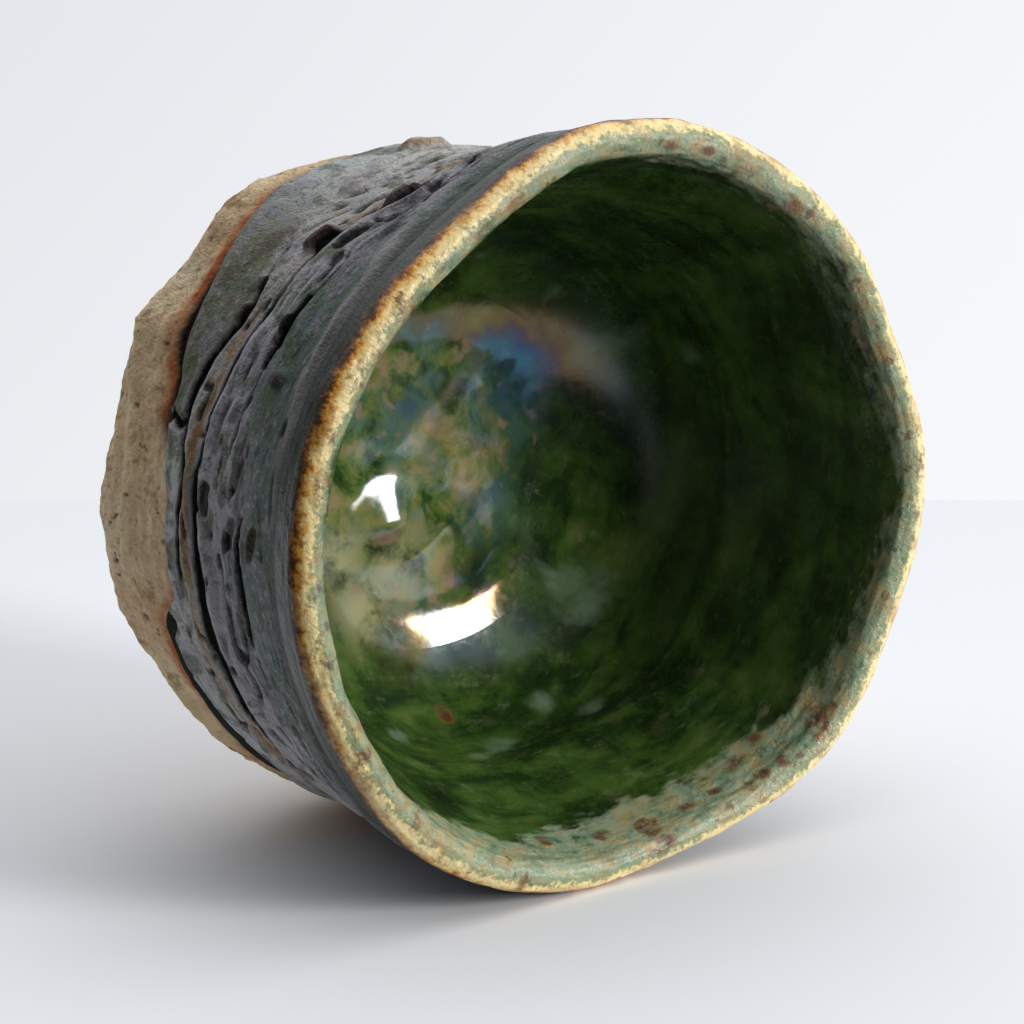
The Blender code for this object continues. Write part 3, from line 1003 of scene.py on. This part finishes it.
def clay_material():
    """Coarse sandy clay: cream and tan, with grit, dark pits, orange flashes by the glaze and one burn, a
    painted highlight on its ridge and painted shade in the gap under the glaze edge.
    """
    material, tree, shader = start_material("Bare_Clay")
    fine = grain(tree, 0.55 * mm, 5, 0.7)
    colour = ramp(
        tree, grain(tree, 6 * mm, 6, 0.65),
        (0.30, 196, 162, 122), (0.44, 232, 200, 158), (0.56, 246, 218, 178), (0.72, 254, 238, 202),
    )
    colour = lay(
        tree, colour,
        (spread(tree, fine, 0.54, 0.68, 0, 0.65), (244, 230, 196)),
        (spread(tree, fine, 0.45, 0.32, 0, 0.6), (128, 92, 62)),
        # Painted highlight on the ridge
        (times(tree, "ridge_with_highlight", 0.8), (246, 224, 172)),
        (spread(tree, grain(tree, 3.2 * mm, 4, 0.65), 0.55, 0.66, 0, 0.6), (142, 98, 62)),
        (spread(tree, grain(tree, 1.0 * mm, 2, 0.5), 0.72, 0.76, 0, 0.7), (78, 52, 34)),
        (times(tree, "pit", 0.75), (76, 56, 38)),
        (times(tree, "flash", spread(tree, grain(tree, 3 * mm, 3), 0.3, 0.6, 0.35, 1.0)), (190, 94, 44)),
        (times(tree, "burn", spread(tree, fine, 0.2, 0.6, 0.5, 0.95)), (74, 46, 28)),
        # Painted shade in the gap under the glaze edge
        ("gap_with_shade", (20, 17, 14)),
    )
    give(tree, shader.inputs["Base Color"], colour)
    give(tree, shader.inputs["Roughness"], spread(tree, fine, 0.3, 0.7, 0.95, 0.8))
    shader.inputs["Specular IOR Level"].default_value = 0.15
    height = sums(tree, "ADD", grain(tree, 0.30 * mm, 3, 0.6), times(tree, fine, 1.5))
    raise_surface(tree, shader, height, 0.18 * mm)
    return material


def band_material():
    """The outer glaze: teal at the neck, lavender grey where torn, then blue or green grey, ochre crests;
    painted highlights on streak crests, brinks and the neck fold, and painted shade in streak hollows,
    crevices and on the tongue.
    """
    material, tree, shader = start_material("Outer_Glaze")
    patch = grain(tree, 6 * mm, 4, 0.6, 0.4)
    fine = grain(tree, 0.7 * mm, 5, 0.7)
    zone = sums(tree, "ADD", "zone", spread(tree, patch, 0.2, 0.8, -0.06, 0.06))
    colour = ramp(
        tree, zone,
        (0.00, *under_lip_colour), (0.05, 60, 80, 74), (0.14, 82, 104, 100), (0.24, 114, 122, 122),
        (0.32, 158, 156, 162), (0.48, 200, 198, 202), (0.72, 200, 196, 188), (0.88, 190, 197, 196),
    )
    olive = ramp(
        tree, grain(tree, 3.0 * mm, 5, 0.65),
        (0.36, 72, 86, 48), (0.47, 104, 108, 66), (0.56, 98, 104, 84), (0.66, 112, 88, 62),
    )
    # Dark green glaze on the tongue, darkened to near black as painted shade in its recess
    shaded_deep_green = ramp(tree, patch, (0.35, 10, 16, 12), (0.65, 30, 42, 30))
    colour = lay(
        tree, colour,
        (times(tree, "sheet", 0.9), olive),
        (spread(tree, grain(tree, 3.6 * mm, 4, 0.6, 0.5), 0.51, 0.39, 0, 0.75), (70, 92, 46)),
        (spread(tree, grain(tree, 4.4 * mm, 5, 0.65, 0.3), 0.50, 0.62, 0, 0.6), (152, 145, 160)),
        # Painted highlight on the streak crests and painted shade in the streak hollows
        (spread(tree, "streak_with_sheen_and_shade", 0.55, 0.80, 0, 0.8), (190, 186, 188)),
        (spread(tree, "streak_with_sheen_and_shade", 0.45, 0.18, 0, 0.65), (44, 46, 46)),
        (spread(tree, fine, 0.55, 0.70, 0, 0.55), (206, 203, 196)),
        (spread(tree, fine, 0.45, 0.32, 0, 0.55), (42, 43, 36)),
        (spread(tree, grain(tree, 2.4 * mm, 4, 0.6), 0.57, 0.66, 0, 0.55), (86, 58, 44)),
        (spread(tree, "zone", 0.0, 0.12, 1.0, 0.0), under_lip_colour),
        # Painted highlight on the brinks and the neck fold
        (times(tree, "brink_highlight", 0.65), (188, 184, 182)),
        (times(tree, "crest", spread(tree, fine, 0.36, 0.56, 0.2, 1.0)), (166, 126, 68)),
        ("iron", (70, 42, 32)),
        (times(tree, "edge", spread(tree, grain(tree, 2 * mm, 3), 0.48, 0.66, 0, 0.6)), (118, 80, 48)),
        ("tongue", shaded_deep_green),
        # Painted shade in the crevices
        ("crevice_shade", (17, 17, 20)),
    )
    give(tree, shader.inputs["Base Color"], colour)
    dull = sums(tree, "MAXIMUM", "tongue", "crevice_shade")
    rough = sums(tree, "MAXIMUM", spread(tree, fine, 0.3, 0.7, 0.50, 0.28), dull)
    give(tree, shader.inputs["Roughness"], rough)
    shader.inputs["Specular IOR Level"].default_value = 0.28
    height = sums(tree, "ADD", grain(tree, 0.35 * mm, 3, 0.65), times(tree, fine, 1.8))
    raise_surface(tree, shader, height, 0.16 * mm)
    return material


def inner_colour(tree):
    """Dark green glass, pale and milky near the lip, with iron blotches."""
    cloud = grain(tree, 12 * mm, 6, 0.65, 0.6, (1.0, 1.0, 2.4))
    patch = grain(tree, 4 * mm, 5, 0.65, 0.4)
    green = ramp(
        tree, sums(tree, "ADD", times(tree, cloud, 0.6), times(tree, patch, 0.4)),
        (0.34, 9, 20, 9), (0.46, 33, 57, 20), (0.56, 66, 94, 36), (0.68, 106, 120, 62),
    )
    pale = ramp(
        tree, grain(tree, 1.6 * mm, 4, 0.6),
        (0.28, 66, 104, 78), (0.36, 120, 142, 114), (0.52, 150, 163, 133), (0.64, 172, 156, 108),
    )
    pale = lay(
        tree, pale,
        (spread(tree, grain(tree, 4.5 * mm, 5, 0.7), 0.50, 0.62, 0, 0.4), (170, 146, 92)),
        (spread(tree, grain(tree, 0.8 * mm, 3, 0.6), 0.62, 0.70, 0, 0.7), (44, 88, 64)),
    )
    flow = grain(tree, 2.2 * mm, 5, 0.7, 0.0, (1.0, 1.0, 2.5))
    milky = sums(tree, "ADD", "celadon", spread(tree, flow, 0.3, 0.7, -0.4, 0.4))
    rusty = ramp(tree, "stain", (0.15, 112, 94, 54), (0.55, 116, 76, 44), (0.95, 88, 50, 31))
    broken = spread(tree, grain(tree, 1.0 * mm, 4, 0.65), 0.36, 0.58, 0.35, 1.0)
    stained = times(tree, spread(tree, "stain", 0.05, 0.60, 0, 0.9), broken)
    return lay(tree, green, (spread(tree, milky, 0.15, 1.0), pale), (stained, rusty))


def lip_material():
    """Burnt at the outer edge, amber, cream over the crest, mint inside, with iron specks and blotches."""
    material, tree, shader = start_material("Lip_Glaze")
    patch = grain(tree, 1.5 * mm, 5, 0.7, 0.3)
    fine = grain(tree, 0.38 * mm, 4, 0.65)
    across = sums(tree, "ADD", "across", spread(tree, patch, 0.25, 0.75, -0.055, 0.055))
    across = sums(tree, "ADD", across, spread(tree, fine, 0.25, 0.75, -0.03, 0.03))
    colour = ramp(
        tree, across,
        (0.00, *under_lip_colour), (0.14, 40, 49, 38), (0.24, 44, 40, 23), (0.29, 98, 56, 21),
        (0.325, 174, 108, 36), (0.36, 226, 168, 77), (0.41, 248, 224, 160), (0.46, 240, 222, 164),
        (0.50, 154, 156, 112), (0.54, 126, 144, 110),
    )
    crest = times(tree, spread(tree, across, 0.30, 0.38), spread(tree, across, 0.78, 0.62))
    ochre = spread(tree, grain(tree, 2.6 * mm, 5, 0.7), 0.50, 0.62, 0, 0.5)
    burnt = spread(tree, grain(tree, 1.9 * mm, 4, 0.65), 0.57, 0.66, 0, 0.7)
    colour = lay(
        tree, colour,
        (spread(tree, across, 0.50, 0.57), inner_colour(tree)),
        (times(tree, crest, ochre), (158, 120, 64)),
        (times(tree, crest, burnt), (96, 60, 34)),
        (spread(tree, fine, 0.60, 0.70, 0, 0.45), (108, 66, 32)),
        (times(tree, crest, spread(tree, fine, 0.42, 0.32, 0, 0.4)), (220, 200, 150)),
    )
    give(tree, shader.inputs["Base Color"], colour)
    give(tree, shader.inputs["Roughness"], spread(tree, patch, 0.3, 0.7, 0.40, 0.22))
    height = sums(tree, "ADD", grain(tree, 0.6 * mm, 3, 0.6), fine)
    raise_surface(tree, shader, height, 0.08 * mm)
    return material


def inside_material(name):
    """Glassy bottle green: dark where thick, olive and tan where thin, with an oily film in places and a
    painted blue sheen on the floor.
    """
    material, tree, shader = start_material(name)
    patch = grain(tree, 3.4 * mm, 5, 0.65, 0.4)
    fine = grain(tree, 0.9 * mm, 3, 0.6)
    thin = ramp(
        tree, patch,
        (0.32, 22, 38, 10), (0.42, 46, 72, 22), (0.50, 84, 106, 46), (0.58, 122, 120, 64),
        (0.68, 142, 124, 96),
    )
    thin = lay(tree, thin, (spread(tree, grain(tree, 5 * mm, 3, 0.6), 0.48, 0.62, 0, 0.6), (80, 114, 104)))
    sheen_patches = spread(tree, grain(tree, 2.6 * mm, 4, 0.6), 0.35, 0.60, 0.25, 0.8)
    fleck = spread(tree, grain(tree, 2.2 * mm, 2, 0.5), 0.58, 0.70, 0, 0.6)
    colour = lay(
        tree, inner_colour(tree),
        (times(tree, "ring", 0.2), (58, 86, 34)),
        ("thin", thin),
        (times(tree, "pale", spread(tree, patch, 0.30, 0.55, 0.2, 1.0)), (158, 156, 110)),
        # Painted blue sheen
        (times(tree, "blue", sheen_patches), (58, 86, 104)),
        (times(tree, fleck, spread(tree, "thin", 0.0, 0.5, 0.12, 1.0)), (150, 126, 106)),
        (times(tree, "milk", spread(tree, patch, 0.3, 0.6, 0.4, 0.9)), (118, 142, 113)),
    )
    give(tree, shader.inputs["Base Color"], colour)
    haze = sums(tree, "ADD", times(tree, "haze", 0.16), times(tree, "celadon", 0.2))
    polish = spread(tree, fine, 0.3, 0.7, 0.13, 0.08)
    give(tree, shader.inputs["Roughness"], sums(tree, "ADD", polish, haze))
    shader.inputs["IOR"].default_value = 1.5
    film = times(tree, times(tree, "film", spread(tree, patch, 0.3, 0.7, 0.85, 1.1)), film_thickness)
    give(tree, shader.inputs["Thin Film Thickness"], film)
    shader.inputs["Thin Film IOR"].default_value = 1.75
    raise_surface(tree, shader, patch, 0.10 * mm, 0.15)
    return material


def choose_shader(tree, share, first, second):
    """A shader between two, by a share."""
    node = tree.nodes.new("ShaderNodeMixShader")
    tree.links.new(share, node.inputs["Fac"])
    tree.links.new(first, node.inputs[1])
    tree.links.new(second, node.inputs[2])
    return node.outputs["Shader"]


def stage_material(name, glow=None, seen_only=False):
    """A pale matt sheet with a clear back. A glow is what the camera sees instead, from left to right."""
    material, tree, shader = start_material(name)
    colour = seen(*stage_colour)
    bright = tuple(min(part * 1.03, 1.0) for part in colour[:3])
    tone = blend(tree, grain(tree, 60 * mm, 2), colour, (*bright, 1.0))
    give(tree, shader.inputs["Base Color"], tone)
    shader.inputs["Roughness"].default_value = 0.9
    shader.inputs["Specular IOR Level"].default_value = 0.0
    front = shader.outputs["BSDF"]
    clear = tree.nodes.new("ShaderNodeBsdfTransparent").outputs["BSDF"]
    if glow:
        backlight = tree.nodes.new("ShaderNodeEmission")
        across = along_direction(tree, photo_right - 0.9 * table_up, "Object")
        share = spread(tree, across, wall_fade_left, wall_fade_right)
        give(tree, backlight.inputs["Color"], blend(tree, share, *(seen(*side) for side in glow)))
        front = backlight.outputs["Emission"]
    if seen_only:
        camera_ray = tree.nodes.new("ShaderNodeLightPath").outputs["Is Camera Ray"]
        front = choose_shader(tree, camera_ray, clear, front)
    backfacing = tree.nodes.new("ShaderNodeNewGeometry").outputs["Backfacing"]
    shown = choose_shader(tree, backfacing, front, clear)
    tree.links.new(shown, tree.nodes["Material Output"].inputs["Surface"])
    return material


# The cup


def make_cup():
    clay = clay_material()
    outer = band_material()
    return [
        make_clay_body(clay),
        make_foot_ring(clay),
        make_band("Neck_Band", lip_seam, high_fissure, 46, outer, "teal_glaze", "neck_band"),
        make_band("Torn_Band", high_fissure, main_fissure, 56, outer, "grey_green_glaze", "torn_band"),
        make_band("Ledge_Band", main_fissure, low_fissure, 44, outer, "ochre_glaze", "ledge_band"),
        make_band(
            "Glaze_Edge_Band", low_fissure, glaze_edge, 54, outer, "grey_blue_glaze", "glaze_edge_band"
        ),
        make_lip(lip_material()),
        make_inner_glaze(inside_material("Inner_Glaze")),
        make_glaze_pool(inside_material("Glaze_Pool")),
    ]


# The studio


def make_sheet(name, middle, ahead, length, material):
    """A wide flat sheet around a middle point, which faces the photo's right x ahead."""
    corners = ((-1, -1), (1, -1), (1, 1), (-1, 1))
    points = [middle + photo_right * (u * stage_width / 2) + ahead * (v * length / 2) for u, v in corners]
    mesh = bpy.data.meshes.new(name)
    mesh.from_pydata([tuple(point) for point in points], [], [(0, 1, 2, 3)])
    mesh.materials.append(material)
    sheet = add_object(name, mesh)


def make_stage(cup):
    """The table that the cup lies on, its front part, which only the camera sees, and a wall behind it."""
    lowest = min(
        float((np.array([tuple(vertex.co) for vertex in piece.data.vertices]) @ np.array(table_up)).min())
        for piece in cup
    )
    under = cup_middle + table_up * (lowest - cup_middle.dot(table_up))
    away = -photo_toward
    table_middle = under + away * (table_back - table_front) / 2
    make_sheet("Table", table_middle, away, table_back + table_front, stage_material("Table"))
    rest_middle = under - away * (table_front + table_back / 2)
    make_sheet("Table_Rest", rest_middle, away, table_back, stage_material("Table_Rest", seen_only=True))
    wall_middle = under + away * wall_back + table_up * wall_height / 2
    make_sheet("Backdrop", wall_middle, table_up, wall_height, stage_material("Backdrop", wall_glow, True))


def stand_upright(thing, place, back):
    """Put a lamp or camera at a place, upright over the table, with its back in this direction."""
    side = table_up.cross(back).normalized()
    turn = Matrix((side, back.cross(side), back)).transposed().to_4x4()
    thing.matrix_world = Matrix.Translation(place) @ turn


def make_window():
    """A tall soft window at the photo's right, upright over the table."""
    data = bpy.data.lights.new("Window", "AREA")
    data.shape = "RECTANGLE"
    data.size, data.size_y = window_size
    data.energy = window_power
    data.color = window_colour
    place = studio(*window_place)
    stand_upright(add_object("Window", data), place, (place - cup_middle).normalized())


def make_room():
    """A pale room that is brighter overhead and behind the cup, and white where the camera sees it."""
    world = bpy.data.worlds.new("Studio")
    world.use_nodes = True
    tree = world.node_tree
    background = tree.nodes["Background"]
    background.inputs["Color"].default_value = room_colour
    bright_side = (table_up + 0.30 * photo_right - 0.30 * photo_toward).normalized()
    upward = along_direction(tree, bright_side, "Generated")
    glow = spread(tree, upward, -0.1, 1.0, dark_side_glow, bright_side_glow)
    toward_camera = along_direction(tree, photo_toward, "Generated")
    behind_camera = spread(tree, toward_camera, 0.75, 0.15, 0.1, 1.0)
    camera_ray = tree.nodes.new("ShaderNodeLightPath").outputs["Is Camera Ray"]
    strength = sums(tree, "MAXIMUM", times(tree, glow, behind_camera), camera_ray)
    tree.links.new(strength, background.inputs["Strength"])
    bpy.context.scene.world = world


def make_camera():
    data = bpy.data.cameras.new("Camera")
    data.lens = camera_lens
    data.sensor_width = camera_sensor
    data.clip_start = 0.01
    camera = add_object("Camera", data)
    stand_upright(camera, camera_place, -camera_look)
    bpy.context.scene.camera = camera


make_camera()
make_stage(make_cup())
make_window()
make_room()
bpy.context.scene.view_settings.view_transform = "Standard"
